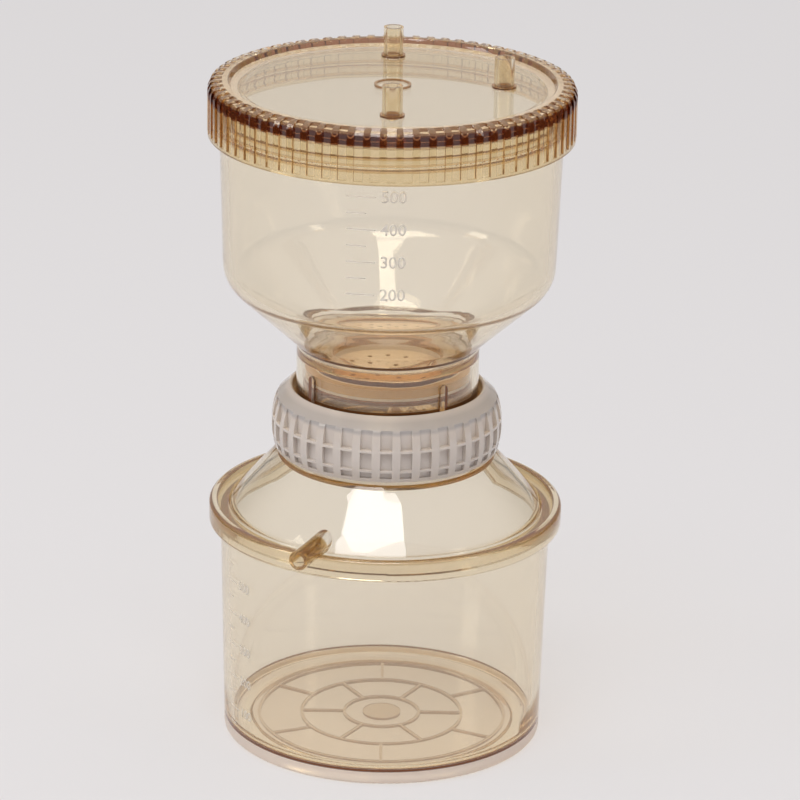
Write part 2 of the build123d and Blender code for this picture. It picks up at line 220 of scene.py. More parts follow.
class FiltrationFinish(bpy.types.PropertyGroup):
    amber_depth: bpy.props.FloatProperty(
        name="Amber depth",
        description="How strongly the polysulfone tints light, per metre",
        default=64.0,
        min=0.0,
    )
    # Painted light: the glow given to light lost inside a wall.
    trapped_light: bpy.props.StringProperty(
        name="Trapped light",
        description="What light becomes after many turns inside a wall",
        default="6a543c",
    )
    lid_edge: bpy.props.StringProperty(
        name="Lid edge",
        description="Deep amber of light that runs along the lid's plate",
        default="6e341b",
    )
    flute_wall: bpy.props.StringProperty(
        name="Flute walls",
        description="Light that runs along the flutes' upright walls",
        default="d6b384",
    )
    thread_amber: bpy.props.StringProperty(
        name="Threads",
        description="Light through the lid's threads",
        default="d9b98a",
    )
    skirt_amber: bpy.props.StringProperty(
        name="Lid skirt",
        description="Light through the lid's threaded skirt",
        default="f3e6c8",
    )
    floor_amber: bpy.props.StringProperty(
        name="Receiver floor",
        description="Light through the receiver's floor",
        default="f8f1ea",
    )
    # Painted light: the foot below its dark line is pale.
    foot_pale: bpy.props.StringProperty(
        name="Foot",
        description="The ground foot of the receiver",
        default="fbf2ea",
    )
    # Painted shade: the dark line around the foot, where the floor meets the wall.
    foot_line: bpy.props.StringProperty(
        name="Foot line",
        description="The deep line where the floor meets the wall",
        default="764010",
    )
    rib_amber: bpy.props.StringProperty(
        name="Floor ribs",
        description="Light through the ribs under the floor",
        default="dac4aa",
    )
    # Painted shade on the upright sides of the ribs under the floor.
    rib_side: bpy.props.StringProperty(
        name="Rib sides",
        description="The sides of the ribs under the floor",
        default="a3876a",
    )
    arm_amber: bpy.props.StringProperty(
        name="Vacuum arm",
        description="Light through the arm's thick wall",
        default="c9a973",
    )
    # Painted shade: a dark line at the corner where the funnel meets the skirt.
    corner_line: bpy.props.StringProperty(
        name="Corner line",
        description="The deep line where the funnel meets the skirt",
        default="5a3414",
    )
    # Painted shade on the fins' sides and on the far edges of their faces.
    fin_side: bpy.props.StringProperty(
        name="Fins",
        description="The sides of the fins on the chamber's skirt",
        default="6e3a08",
    )
    lip_shade: bpy.props.StringProperty(
        name="Lip shade",
        description="The skirt in the shade of the collar's lip",
        default="6a4527",
    )
    skirt_tan: bpy.props.StringProperty(
        name="Skirt",
        description="Light through the chamber's skirt",
        default="e4cda6",
    )
    outlet_wall: bpy.props.StringProperty(
        name="Outlet",
        description="Light through the outlet's upright wall",
        default="c8966a",
    )
    # Painted shade in the groove inside the bead.
    bead_gold: bpy.props.StringProperty(
        name="Bead",
        description="The groove inside the receiver's bead",
        default="ccb78c",
    )
    # Painted light: the glow given to light lost inside the receiver's walls.
    receiver_glow: bpy.props.StringProperty(
        name="Receiver glow",
        description="Light held in the receiver's walls",
        default="76623f",
    )
    # Painted shade: the dark line of the neck's rim under its gasket.
    neck_rim: bpy.props.StringProperty(
        name="Neck rim",
        description="The deep line of the neck's rim under its gasket",
        default="7a4a10",
    )
    neck_amber: bpy.props.StringProperty(
        name="Neck",
        description="Light through the receiver's threaded neck",
        default="ecdabd",
    )
    port_amber: bpy.props.StringProperty(
        name="Ports",
        description="Deeper amber of the hose ports",
        default="fbf4e4",
    )
    # Painted shade: the dark ring where a port or the gate meets the lid.
    port_foot: bpy.props.StringProperty(
        name="Port feet",
        description="The deep ring where a port or the gate meets the lid",
        default="a8743f",
    )
    plate_tan: bpy.props.StringProperty(
        name="Plate",
        description="Moulded polysulfone disc",
        default="fff0dc",
    )
    plate_cloud: bpy.props.StringProperty(
        name="Plate, second tone",
        description="What the plate's colour drifts to in soft clouds",
        default="f8e4cb",
    )
    plate_rim: bpy.props.StringProperty(
        name="Plate rim",
        description="The disc's face outside the seal",
        default="c9a468",
    )
    # Painted shade on the outer edge of the membrane's seal.
    seal_edge: bpy.props.StringProperty(
        name="Seal edge",
        description="The outer edge of the membrane's seal",
        default="5e3210",
    )
    collar_white: bpy.props.StringProperty(
        name="Collar white",
        description="Natural polypropylene",
        default="dad2cb",
    )
    collar_cloud: bpy.props.StringProperty(
        name="Collar, second tone",
        description="What the collar's white drifts to in soft clouds",
        default="d4cbc3",
    )
    # Painted shade that darkens the collar's round top.
    collar_crown: bpy.props.StringProperty(
        name="Collar crown",
        description="The collar's round top, above its ribs",
        default="cac4c2",
    )
    # Painted shade, deeper, on the round under the collar's top; the top edge above it stays
    # paler, as a painted highlight.
    collar_shoulder: bpy.props.StringProperty(
        name="Collar shoulder",
        description="The round under the collar's top, which gives back less light",
        default="b9b4b2",
    )
    seal_white: bpy.props.StringProperty(
        name="Seal",
        description="Translucent silicone",
        default="eee4dc",
    )
    scale_pale: bpy.props.StringProperty(
        name="Scale",
        description="Frosted marks of the scale",
        default="f6efe4",
    )


class FiltrationStage(bpy.types.PropertyGroup):
    camera_away: bpy.props.FloatProperty(
        name="Camera away",
        description="Level distance from the camera to the unit's axis",
        default=1.4,
        unit="LENGTH",
    )
    camera_height: bpy.props.FloatProperty(
        name="Camera height",
        description="Height of the camera above the bench",
        default=0.6195,
        unit="LENGTH",
    )
    camera_pitch: bpy.props.FloatProperty(
        name="Camera pitch",
        description="How far the camera looks down",
        default=math.radians(19.708),
        subtype="ANGLE",
    )
    camera_pan: bpy.props.FloatProperty(
        name="Camera pan",
        description="How far the camera looks to the right of the axis",
        default=math.radians(0.179),
        subtype="ANGLE",
    )
    camera_roll: bpy.props.FloatProperty(
        name="Camera roll",
        description="Lean of the camera to its left",
        default=math.radians(1.097),
        subtype="ANGLE",
    )
    camera_lens: bpy.props.FloatProperty(
        name="Lens",
        description="Focal length in millimetres",
        default=197.5,
        unit="CAMERA",
    )
    room_low: bpy.props.StringProperty(
        name="Room, low",
        description="The dim studio at eye level",
        default="48443b",
    )
    room_high: bpy.props.StringProperty(
        name="Room, high",
        description="The pale studio overhead",
        default="eeebec",
    )
    floor_colour: bpy.props.StringProperty(
        name="Floor",
        description="Pale paper under the unit",
        default="e4e1e2",
    )
    floor_seen: bpy.props.StringProperty(
        name="Floor as seen",
        description="The paper's colour to the eye",
        default="e4e2e2",
    )
    floor_share: bpy.props.FloatProperty(
        name="Floor share",
        description="How much of the paper is seen at its own colour, without shadow",
        default=0.58,
        min=0.0,
        max=1.0,
        subtype="FACTOR",
    )


# ------------------------------------------------------------------- helpers


def linear(hexcode):
    """A colour written as sRGB hex, as the linear value that a shader takes."""
    out = []
    for i in (0, 2, 4):
        c = int(hexcode[i : i + 2], 16) / 255
        out.append(c / 12.92 if c <= 0.04045 else ((c + 0.055) / 1.055) ** 2.4)
    return (*out, 1.0)


def pick(*pieces):
    """Selects these pieces alone and makes the first one active."""
    bpy.ops.object.select_all(action="DESELECT")
    for piece in pieces:
        piece.select_set(True)
    bpy.context.view_layer.objects.active = pieces[0]


def edit_all(piece):
    """Opens one piece in edit mode with all of it selected."""
    pick(piece)
    bpy.ops.object.mode_set(mode="EDIT")
    bpy.ops.mesh.select_all(action="SELECT")


def edit_some(piece, test):
    """Opens one piece in edit mode with the vertices selected whose place passes the test."""
    pick(piece)
    for vertex in piece.data.vertices:
        vertex.select = test(vertex.co)
    for part in (*piece.data.edges, *piece.data.polygons):
        part.select = all(piece.data.vertices[i].select for i in part.vertices)
    bpy.ops.object.mode_set(mode="EDIT")


def leave_edit():
    """Goes back to object mode."""
    bpy.ops.object.mode_set(mode="OBJECT")


def apply_all(piece):
    """Applies every modifier of the piece in order."""
    pick(piece)
    for name in [m.name for m in piece.modifiers]:
        bpy.ops.object.modifier_apply(modifier=name)


def skin(name):
    """A copy of a CAD node's mesh, merged into one closed skin."""
    piece = bpy.data.objects.new(name + "_skin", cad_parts[name].data.copy())
    bpy.context.scene.collection.objects.link(piece)
    pick(piece)
    bpy.ops.mesh.customdata_custom_splitnormals_clear()
    edit_all(piece)
    bpy.ops.mesh.remove_doubles(threshold=2 * MERGE_GAP)
    leave_edit()
    return piece


def section(name, radii, heights):
    """A rectangle of four edges on the XZ plane, between two radii and two heights."""
    bpy.ops.object.select_all(action="DESELECT")
    bpy.ops.mesh.primitive_plane_add(size=1.0, rotation=(math.pi / 2, 0, 0))
    piece = bpy.context.object
    piece.name = name
    bpy.ops.object.transform_apply(location=True, rotation=True, scale=True)
    edit_all(piece)
    bpy.ops.transform.resize(value=(radii[1] - radii[0], 1, heights[1] - heights[0]))
    bpy.ops.transform.translate(value=(sum(radii) / 2, 0, sum(heights) / 2))
    bpy.ops.mesh.delete(type="ONLY_FACE")
    leave_edit()
    return piece


def close_skin(piece):
    """Merges a closed skin's doubles and turns its faces outwards."""
    edit_all(piece)
    bpy.ops.mesh.remove_doubles(threshold=MERGE_GAP)
    bpy.ops.mesh.normals_make_consistent(inside=False)
    leave_edit()


def thread(name, root_r, crest_r, foot_z, lead, width, turns=THREAD_TURNS):
    """A right-handed thread: a section narrowed at its crest, screwed up the axis, ends closed."""
    piece = section(name, sorted((root_r, crest_r)), (foot_z, foot_z + width))
    edit_some(piece, lambda co: abs(co.x - crest_r) < NEAR)
    bpy.ops.transform.resize(value=(1, 1, CREST_SHARE))
    leave_edit()
    screw = piece.modifiers.new("turns", "SCREW")
    screw.angle = 2 * math.pi
    screw.screw_offset = lead
    screw.iterations = turns
    screw.steps = THREAD_STEPS
    screw.render_steps = THREAD_STEPS
    apply_all(piece)
    bpy.ops.object.mode_set(mode="EDIT")
    bpy.ops.mesh.select_all(action="DESELECT")
    bpy.ops.mesh.select_non_manifold()
    bpy.ops.mesh.edge_face_add()
    leave_edit()
    close_skin(piece)
    return piece


def lift_face(piece, z, rise):
    """Moves the vertices at one height, so that a clear face keeps a hair's gap under it."""
    edit_some(piece, lambda co: abs(co.z - z) < NEAR)
    bpy.ops.transform.translate(value=(0, 0, rise))
    leave_edit()


def weld(piece, *others):
    """Joins closed skins into one by exact unions, and shades it smooth up to its real edges."""
    for other in others:
        union = piece.modifiers.new("union", "BOOLEAN")
        union.operation = "UNION"
        union.solver = "EXACT"
        union.object = other
        apply_all(piece)
        bpy.data.objects.remove(other)
    edit_all(piece)
    bpy.ops.mesh.remove_doubles(threshold=MERGE_GAP)
    leave_edit()
    bpy.ops.object.shade_smooth_by_angle(angle=SMOOTH_ANGLE)


def settle(piece, body, slot, mat, *nodes):
    """Gives a piece its material and its body, and hides the nodes it stands for. The slot is not
    used.
    """
    piece.data.materials.clear()
    piece.data.materials.append(mat)
    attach(piece, body)
    if nodes:
        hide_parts(*nodes)


def finish_node(name, mat):
    """Gives a CAD node its material in every slot."""
    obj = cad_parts[name]
    if not obj.data.materials:
        obj.data.materials.append(mat)
    for slot in obj.material_slots:
        slot.material = mat


def new_material(name):
    """A new material and its output node, or one that was made before and None."""
    mat = bpy.data.materials.get(name)
    if mat:
        return mat, None
    mat = bpy.data.materials.new(name)
    mat.use_nodes = True
    mat.node_tree.nodes.clear()
    return mat, node(mat, "ShaderNodeOutputMaterial")


def node(mat, kind, settings=None, inputs=None):
    """Adds a node, sets its properties, and sets or links its inputs."""
    n = mat.node_tree.nodes.new(kind)
    for key, value in (settings or {}).items():
        setattr(n, key, value)
    for key, value in (inputs or {}).items():
        if isinstance(value, bpy.types.NodeSocket):
            mat.node_tree.links.new(value, n.inputs[key])
        else:
            n.inputs[key].default_value = value
    return n


def link(mat, source, target):
    """Links one socket to another."""
    mat.node_tree.links.new(source, target)


# --------------------------------------------------------------------- masks


def both(mat, first, second):
    """A mask that is one where both masks are."""
    settings = {"operation": "MULTIPLY"}
    return node(mat, "ShaderNodeMath", settings, {0: first, 1: second}).outputs[0]


def either(mat, first, *others):
    """A mask that is one where any of the masks is."""
    for other in others:
        settings = {"operation": "MAXIMUM"}
        first = node(mat, "ShaderNodeMath", settings, {0: first, 1: other}).outputs[0]
    return first


def ramp(mat, value, none_at, full_at):
    """A mask that goes from nothing at one value to one at another."""
    inputs = {"Value": value, 1: none_at, 2: full_at}
    return node(mat, "ShaderNodeMapRange", None, inputs).outputs[0]


def band(mat, value, low, high, soft=0.2 * MM):
    """A mask that is one where a value lies between two limits, with soft ends."""
    rise = ramp(mat, value, low - soft, low + soft)
    return both(mat, rise, ramp(mat, value, high + soft, high - soft))


def zone(mat, spot, radii, heights, r_soft=0.2 * MM, z_soft=0.2 * MM):
    """A mask that is one between two radii and between two heights."""
    ring = band(mat, spot.away, *radii, soft=r_soft)
    return both(mat, ring, band(mat, spot.z, *heights, soft=z_soft))


def facing(mat, amount, none_at, full_at):
    """A mask from how far a face looks one way or its opposite."""
    size = node(mat, "ShaderNodeMath", {"operation": "ABSOLUTE"}, {0: amount}).outputs[0]
    return ramp(mat, size, none_at, full_at)


def whereabouts(mat):
    """The place on the piece: its side, its height and its distance from the unit's axis."""
    coords = node(mat, "ShaderNodeTexCoord").outputs["Object"]
    place = node(mat, "ShaderNodeSeparateXYZ", None, {0: coords}).outputs
    level = node(mat, "ShaderNodeCombineXYZ", None, {"X": place["X"], "Y": place["Y"]})
    away = node(mat, "ShaderNodeVectorMath", {"operation": "LENGTH"}, {0: level.outputs[0]})
    return Spot(place["X"], place["Z"], away.outputs["Value"])


def side_walls(mat):
    """A mask that is one on upright faces that look along the rim, not outwards."""
    spot = node(mat, "ShaderNodeTexCoord").outputs
    vector = spot["Object"]
    for operation, other in (
        ("MULTIPLY", {1: (1, 1, 0)}),
        ("NORMALIZE", {}),
        ("CROSS_PRODUCT", {1: (0, 0, 1)}),
    ):
        settings = {"operation": operation}
        vector = node(mat, "ShaderNodeVectorMath", settings, {0: vector, **other}).outputs[0]
    inputs = {0: spot["Normal"], 1: vector}
    turned = node(mat, "ShaderNodeVectorMath", {"operation": "DOT_PRODUCT"}, inputs)
    return facing(mat, turned.outputs["Value"], *TURN_OF_WALL)


def upright(mat):
    """A mask that is one on upright faces."""
    normal = node(mat, "ShaderNodeTexCoord").outputs["Normal"]
    rise = node(mat, "ShaderNodeSeparateXYZ", None, {0: normal}).outputs["Z"]
    return facing(mat, rise, *reversed(TURN_OF_WALL))


def tinted(mat, mask, before, after):
    """One colour changed to another where a mask is one."""
    inputs = {0: mask, 6: before, 7: after}
    return node(mat, "ShaderNodeMix", {"data_type": "RGBA"}, inputs).outputs[2]


def shifted(mat, mask, before, after):
    """One number changed to another where a mask is one."""
    inputs = {"Value": mask, 3: before, 4: after}
    return node(mat, "ShaderNodeMapRange", None, inputs).outputs[0]


def clouded(mat, clouds, first, second):
    """Two close colours in soft clouds, so many to a metre, as a moulding cools unevenly."""
    coords = node(mat, "ShaderNodeTexCoord").outputs["Object"]
    inputs = {"Vector": coords, "Scale": clouds, "Detail": 1.0}
    mask = node(mat, "ShaderNodeTexNoise", None, inputs).outputs["Fac"]
    return tinted(mat, mask, first, second)


def relief(mat, waves, depth, strength, detail=2.0):
    """The fine relief of a surface, with so many waves to a metre, as its normal."""
    coords = node(mat, "ShaderNodeTexCoord").outputs["Object"]
    inputs = {"Vector": coords, "Scale": waves, "Detail": detail}
    height = node(mat, "ShaderNodeTexNoise", None, inputs).outputs["Fac"]
    inputs = {"Height": height, "Strength": strength, "Distance": depth}
    return node(mat, "ShaderNodeBump", None, inputs).outputs["Normal"]


# ----------------------------------------------------------------- materials


def amber_shell(mat, out, cfg, base, rough=POLISHED, clear=CLEARNESS, glow=None):
    """The skin and the body of clear amber polysulfone, shared by its mouldings.

    Light that has turned inside a wall more often than the renderer follows would
    It glows instead with painted light, in the amber of a long way through the plastic.
    """
    path = node(mat, "ShaderNodeLightPath").outputs
    lost = []
    for depth, followed in (
        ("Glossy Depth", TURNS_FOLLOWED),
        ("Transmission Depth", WALLS_FOLLOWED),
    ):
        inputs = {0: path[depth], 1: followed}
        beyond = node(mat, "ShaderNodeMath", {"operation": "GREATER_THAN"}, inputs)
        lost.append(beyond.outputs[0])
    inputs = {
        "Base Color": base,
        "Roughness": rough,
        "IOR": POLYSULFONE_IOR,
        "Transmission Weight": clear,
        "Normal": relief(mat, 35.0, 1.0 * MM, 0.02),  # flow waves about 29 mm long
        "Emission Color": glow or linear(cfg.trapped_light),
        "Emission Strength": either(mat, *lost),
    }
    shell = node(mat, "ShaderNodeBsdfPrincipled", None, inputs)
    shadow = node(mat, "ShaderNodeBsdfTransparent", None, {"Color": POLYSULFONE_SHADOW})
    inputs = {0: path["Is Shadow Ray"], 1: shell.outputs[0], 2: shadow.outputs[0]}
    mix = node(mat, "ShaderNodeMixShader", None, inputs)
    link(mat, mix.outputs[0], out.inputs["Surface"])
    inputs = {"Color": POLYSULFONE_TINT, "Density": cfg.amber_depth}
    amber = node(mat, "ShaderNodeVolumeAbsorption", None, inputs)
    link(mat, amber.outputs[0], out.inputs["Volume"])
    mat.cycles.emission_sampling = "NONE"
    return mat


def moulded_polysulfone(cfg):
    """The chamber's clear amber polysulfone, from a polished mould: glossy, with a high index.

    It is deeper where light runs along a wall: in the thread, the skirt and the outlet.
    The fins' sides and the corner under the funnel are darkened with painted shade.
    """
    mat, out = new_material("moulded polysulfone")
    if out is None:
        return mat
    spot = whereabouts(mat)
    turns = band(mat, spot.away, CHAMBER_HIGH.x + 0.1 * MM, OVER, soft=0.05 * MM)
    base = tinted(mat, turns, NO_TINT, linear(cfg.thread_amber))
    skirt = zone(mat, spot, (UNDER, SKIRT_R), (UNDER, PLATE_LOW.z))
    base = tinted(mat, skirt, base, linear(cfg.skirt_tan))

    # Painted shade on the fins' sides, and on the far edges of the two faces that show through the
    # skirt.
    fin_sides = both(mat, both(mat, skirt, side_walls(mat)), band(mat, spot.away, *FINS_R))
    fin_faces = zone(mat, spot, FIN_FACES_R, (UNDER, PLATE_HIGH.z + 2.0 * MM), r_soft=0.05 * MM)
    across = node(mat, "ShaderNodeMath", {"operation": "ABSOLUTE"}, {0: spot.x}).outputs[0]
    far_edges = either(mat, *(band(mat, across, *edge, soft=0.1 * MM) for edge in FIN_EDGES_X))
    fins = either(mat, fin_sides, both(mat, fin_faces, far_edges))
    base = tinted(mat, fins, base, linear(cfg.fin_side))

    lip_z = (COLLAR_HIGH.z - 1.8 * MM, COLLAR_HIGH.z + 0.4 * MM)
    shade = zone(mat, spot, LIP_SHADE_R, lip_z)
    base = tinted(mat, shade, base, linear(cfg.lip_shade))
    # Painted shade: a dark line at the corner under the funnel.
    corner = zone(mat, spot, CONE_FOOT_R, (CONE_FOOT_Z - 0.4 * MM, CONE_FOOT_Z + 0.9 * MM))
    base = tinted(mat, corner, base, linear(cfg.corner_line))
    outlet = zone(mat, spot, OUTLET_R, (PLATE_HIGH.z, CONE_FOOT_Z - 3.0 * MM))
    base = tinted(mat, outlet, base, linear(cfg.outlet_wall))
    # Where shade is painted, less light goes through.
    clear = shifted(mat, either(mat, fins, shade, corner), CLEARNESS, 0.25)
    return amber_shell(mat, out, cfg, base, clear=clear)


def lid_polysulfone(cfg):
    """The lid's polysulfone: light that runs out along its plate ends in the flutes.

    It leaves the flutes' floors deep red-brown in a band as high as the plate's edge.
    """
    mat, out = new_material("moulded polysulfone lid")
    if out is None:
        return mat
    spot = whereabouts(mat)
    plate_z = SEAL_HIGH.z
    skirt = zone(mat, spot, (LID_SKIRT_R, OVER), (UNDER, plate_z))
    base = tinted(mat, skirt, NO_TINT, linear(cfg.skirt_amber))
    crests = band(mat, spot.away, LID_SKIRT_R, LID_BORE_R - 0.1 * MM, soft=0.05 * MM)
    base = tinted(mat, both(mat, skirt, crests), base, linear(cfg.thread_amber))
    flutes = band(mat, spot.away, LID_HIGH.x - 1.6 * MM, OVER, soft=0.3 * MM)
    walls = both(mat, flutes, side_walls(mat))
    base = tinted(mat, walls, base, linear(cfg.flute_wall))
    edge = both(mat, flutes, band(mat, spot.z, plate_z, plate_z + 3.8 * MM))
    base = tinted(mat, edge, base, linear(cfg.lid_edge))
    ports = zone(mat, spot, (0.0, PORTS_R), (LID_HIGH.z - 9.2 * MM, OVER))
    base = tinted(mat, ports, base, linear(cfg.port_amber))
    # Painted shade: the dark ring where a port or the gate meets the lid.
    feet_z = (LID_HIGH.z - 10.05 * MM, LID_HIGH.z - 9.4 * MM)
    feet = zone(mat, spot, (UNDER, PORTS_R), feet_z, z_soft=0.08 * MM)
    base = tinted(mat, feet, base, linear(cfg.port_foot))
    return amber_shell(mat, out, cfg, base)


def receiver_polysulfone(cfg):
    """The receiver's polysulfone: its floor's ribs and its arm hold light longer."""
    mat, out = new_material("moulded polysulfone receiver")
    if out is None:
        return mat
    spot = whereabouts(mat)
    disc = zone(mat, spot, (UNDER, FLOOR_R), (UNDER, FLOOR_TOP_Z))
    base = tinted(mat, disc, NO_TINT, linear(cfg.floor_amber))
    ribs = zone(mat, spot, (UNDER, FLOOR_R), (UNDER, RIBS_Z), z_soft=0.3 * MM)
    base = tinted(mat, ribs, base, linear(cfg.rib_amber))
    # Painted shade on the ribs' upright sides.
    sides = zone(mat, spot, (UNDER, RIB_SIDES_R), RIB_SIDES_Z, z_soft=0.1 * MM)
    sides = both(mat, upright(mat), sides)
    base = tinted(mat, sides, base, linear(cfg.rib_side))

    wall_r, softness = (CUP_WALL_R, OVER), (0.1 * MM, 0.15 * MM)
    # Painted shade: a dark line around the foot.
    line = zone(mat, spot, wall_r, FOOT_LINE_Z, *softness)
    base = tinted(mat, line, base, linear(cfg.foot_line))
    # Painted light: the foot below its dark line is pale; it is also matt.
    foot = zone(mat, spot, wall_r, (UNDER, FOOT_LINE_Z[0]), *softness)
    base = tinted(mat, foot, base, linear(cfg.foot_pale))

    # Painted shade in the groove inside the bead.
    groove = zone(mat, spot, BEAD_GROOVE_R, (DOME_LOW.z + 3.0 * MM, CUP_HIGH.z + 4.0 * MM))
    base = tinted(mat, groove, base, linear(cfg.bead_gold))
    neck = zone(mat, spot, (UNDER, NECK_CREST_R), (COLLAR_LOW.z, OVER))
    base = tinted(mat, neck, base, linear(cfg.neck_amber))
    # Painted shade: the dark line of the neck's rim under its gasket.
    rim = zone(mat, spot, NECK_RIM_R, (DOME_HIGH.z - 1.5 * MM, OVER))
    base = tinted(mat, rim, base, linear(cfg.neck_rim))
    arm = either(
        mat,
        zone(mat, spot, (ARM_FOOT_R, OVER), ARM_Z),
        zone(mat, spot, (ARM_FOOT_TOP_R, OVER), ARM_TOP_Z),
    )
    base = tinted(mat, arm, base, linear(cfg.arm_amber))

    # Where shade or light is painted the wall is less clear, and in the groove half as much.
    deep = either(mat, line, sides, foot, rim, both(mat, groove, 0.5))
    clear = shifted(mat, deep, CLEARNESS, 0.35)
    rough = shifted(mat, foot, POLISHED, 0.4)
    return amber_shell(mat, out, cfg, base, rough, clear, linear(cfg.receiver_glow))


def moulded_plate(cfg):
    """The support plate's polysulfone: its fine matt face hides what is under it."""
    mat, out = new_material("matt polysulfone")
    if out is None:
        return mat
    spot = whereabouts(mat)
    face = band(mat, spot.z, PLATE_HIGH.z - 0.3 * MM, OVER, soft=0.05 * MM)
    # Clouds of 11 mm.
    tan = clouded(mat, 90.0, linear(cfg.plate_tan), linear(cfg.plate_cloud))
    base = tinted(mat, face, NO_TINT, tan)
    rim = both(mat, face, band(mat, spot.away, PLATE_HIGH.x - 2.6 * MM, OVER))
    base = tinted(mat, rim, base, linear(cfg.plate_rim))
    edge = band(mat, spot.away, PLATE_HIGH.x - 0.4 * MM, OVER, soft=0.1 * MM)
    base = tinted(mat, edge, base, linear(cfg.plate_rim))
    rough = shifted(mat, face, 0.03, 0.35)
    clear = shifted(mat, either(mat, face, edge), CLEARNESS, 0.2)
    return amber_shell(mat, out, cfg, base, rough, clear)


def moulded_polypropylene(cfg):
    """Natural polypropylene: pale, slightly waxy, and light goes a little way in."""
    mat, out = new_material("moulded polypropylene")
    if out is None:
        return mat
    z = whereabouts(mat).z
    # Clouds of 17 mm.
    white = clouded(mat, 60.0, linear(cfg.collar_white), linear(cfg.collar_cloud))
    # Painted shade on the collar's round top, above its ribs.
    crown = band(mat, z, COLLAR_HIGH.z - 4.6 * MM, OVER, soft=0.6 * MM)
    white = tinted(mat, crown, white, linear(cfg.collar_crown))
    # Painted shade, deeper, on the round under the top; the top edge above it stays paler, as a
    # painted highlight.
    shoulder_z = (COLLAR_HIGH.z - 5.2 * MM, COLLAR_HIGH.z - 1.2 * MM)
    shoulder = band(mat, z, *shoulder_z, soft=0.6 * MM)
    white = tinted(mat, shoulder, white, linear(cfg.collar_shoulder))
    inputs = {
        "Base Color": white,
        "Roughness": 0.16,
        "IOR": 1.49,
        "Subsurface Weight": 0.2,
        "Subsurface Scale": 1.5 * MM,
        "Subsurface Radius": (1.0, 0.9, 0.75),
        "Normal": relief(mat, 900.0, 0.2 * MM, 0.05, detail=3.0),  # a grain of 1.1 mm
    }
    shell = node(mat, "ShaderNodeBsdfPrincipled", None, inputs)
    link(mat, shell.outputs[0], out.inputs["Surface"])
    return mat


def moulded_silicone(cfg):
    """Translucent silicone rubber: a soft haze and no hard reflections."""
    mat, out = new_material("moulded silicone")
    if out is None:
        return mat
    # Painted shade on the outer edge of the membrane's seal.
    edge_r = (RING_HIGH.x - 0.6 * MM, RING_HIGH.x + 1.0 * MM)
    edge_z = (RING_LOW.z - 0.1 * MM, RING_HIGH.z + 0.1 * MM)
    edge = zone(mat, whereabouts(mat), edge_r, edge_z, r_soft=0.1 * MM)
    inputs = {
        "Base Color": tinted(mat, edge, linear(cfg.seal_white), linear(cfg.seal_edge)),
        "Roughness": 0.4,
        "IOR": 1.41,
        "Transmission Weight": 0.3,
        "Normal": relief(mat, 300.0, 0.2 * MM, 0.1),  # soft waves of 3.3 mm
    }
    shell = node(mat, "ShaderNodeBsdfPrincipled", None, inputs)
    link(mat, shell.outputs[0], out.inputs["Surface"])
    return mat


def frosted_polysulfone(cfg):
    """Marks moulded proud and frosted: they scatter light, so they are paler than the wall."""
    mat, out = new_material("frosted polysulfone")
    if out is None:
        return mat
    inputs = {
        "Base Color": linear(cfg.scale_pale),
        "Roughness": 0.5,
        "IOR": 1.3,
        "Transmission Weight": 0.2,
        # Grains of 0.4 mm, coarser than real frosting so that they show.
        "Normal": relief(mat, 2500.0, 0.1 * MM, 0.3),
    }
    shell = node(mat, "ShaderNodeBsdfPrincipled", None, inputs)
    link(mat, shell.outputs[0], out.inputs["Surface"])
    return mat


def pale_paper(cfg):
    """The floor's pale paper, which is seen partly at its own colour, so shadows stay soft.

    Through the unit's walls its far part fades into the dim room.
    """
    mat, out = new_material("pale paper")
    if out is None:
        return mat
    path = node(mat, "ShaderNodeLightPath").outputs
    seen = either(
        mat, path["Is Camera Ray"], path["Is Glossy Ray"], path["Is Transmission Ray"]
    )
    inputs = {0: seen, 1: path["Is Camera Ray"]}
    bent = node(mat, "ShaderNodeMath", {"operation": "SUBTRACT"}, inputs).outputs[0]
    dim = both(mat, ramp(mat, whereabouts(mat).away, *PAPER_FADES), bent)
    paper = tinted(mat, dim, linear(cfg.floor_colour), linear(cfg.room_low))
    shell = node(mat, "ShaderNodeBsdfDiffuse", None, {"Color": paper})
    paper = tinted(mat, dim, linear(cfg.floor_seen), linear(cfg.room_low))
    glow = node(mat, "ShaderNodeEmission", None, {"Color": paper})
    inputs = {0: both(mat, seen, cfg.floor_share), 1: shell.outputs[0], 2: glow.outputs[0]}
    mix = node(mat, "ShaderNodeMixShader", None, inputs)
    link(mat, mix.outputs[0], out.inputs["Surface"])
    mat.cycles.emission_sampling = "NONE"
    return mat


# ----------------------------------------------------------------- operators


class FILTRATION_OT_receiver(bpy.types.Operator):
    """Bond the cup and the dome into one clear body, with the neck's thread"""

    bl_idname = "filtration.receiver"
    bl_label = "Receiver"

    def execute(self, context):
        sizes = context.scene.filtration_threads
        bond = section(
            "bond",
            (CUP_JOINT_R - 0.5 * MM, CUP_JOINT_R + 0.3 * MM),
            (CUP_HIGH.z - 2.6 * MM, CUP_HIGH.z + 0.4 * MM),
        )
        edit_all(bond)
        bpy.ops.mesh.spin(
            steps=BOND_STEPS,
            angle=2 * math.pi,
            use_auto_merge=True,
            center=(0, 0, 0),
            axis=(0, 0, 1),
        )
        leave_edit()
        close_skin(bond)
        turns = thread(
            "neck_thread",
            root_r=NECK_R - 0.4 * MM,
            crest_r=NECK_R + 1.3 * MM,
            foot_z=COLLAR_LOW.z + 1.0 * MM,
            lead=sizes.collar_lead,
            width=sizes.thread_width,
        )
        body = skin("receiver_cup")
        weld(body, skin("receiver_dome"), bond, turns)
        body.name = "receiver_moulding"
        amber = receiver_polysulfone(context.scene.filtration_finish)
        settle(body, "receiver", "polysulfone", amber, "receiver_cup", "receiver_dome")
        return {"FINISHED"}


